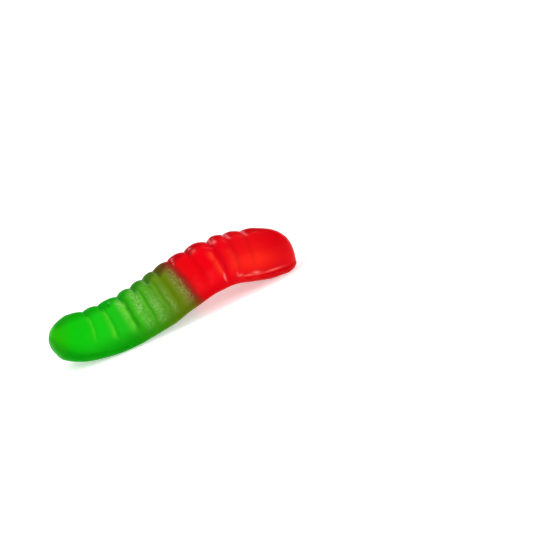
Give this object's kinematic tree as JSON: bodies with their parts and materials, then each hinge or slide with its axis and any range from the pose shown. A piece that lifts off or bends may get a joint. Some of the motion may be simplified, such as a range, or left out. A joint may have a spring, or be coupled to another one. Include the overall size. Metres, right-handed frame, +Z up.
{
  "type": "gummy worm",
  "caption": "Small gummy worm moulded in one piece: round ends, a ribbed dome over a flat underside, lying in a shallow S, green at one end and red at the other.",
  "frame": {"origin": "middle of the worm's footprint box, on the surface that it lies on", "axes": "+X from the green tail to the red head, +Y away from the side that the picture shows, +Z up from the flat underside through the ribs"},
  "size_m": [0.0474, 0.0116, 0.0111],
  "materials": {
    "gummy_green_and_red": "glossy translucent gelatine, green at the tail half, olive and brown where the two colours met, red at the head half"
  },
  "bodies": {
    "root": {"gummy_worm": "gummy_green_and_red"}
  },
  "joints": []
}
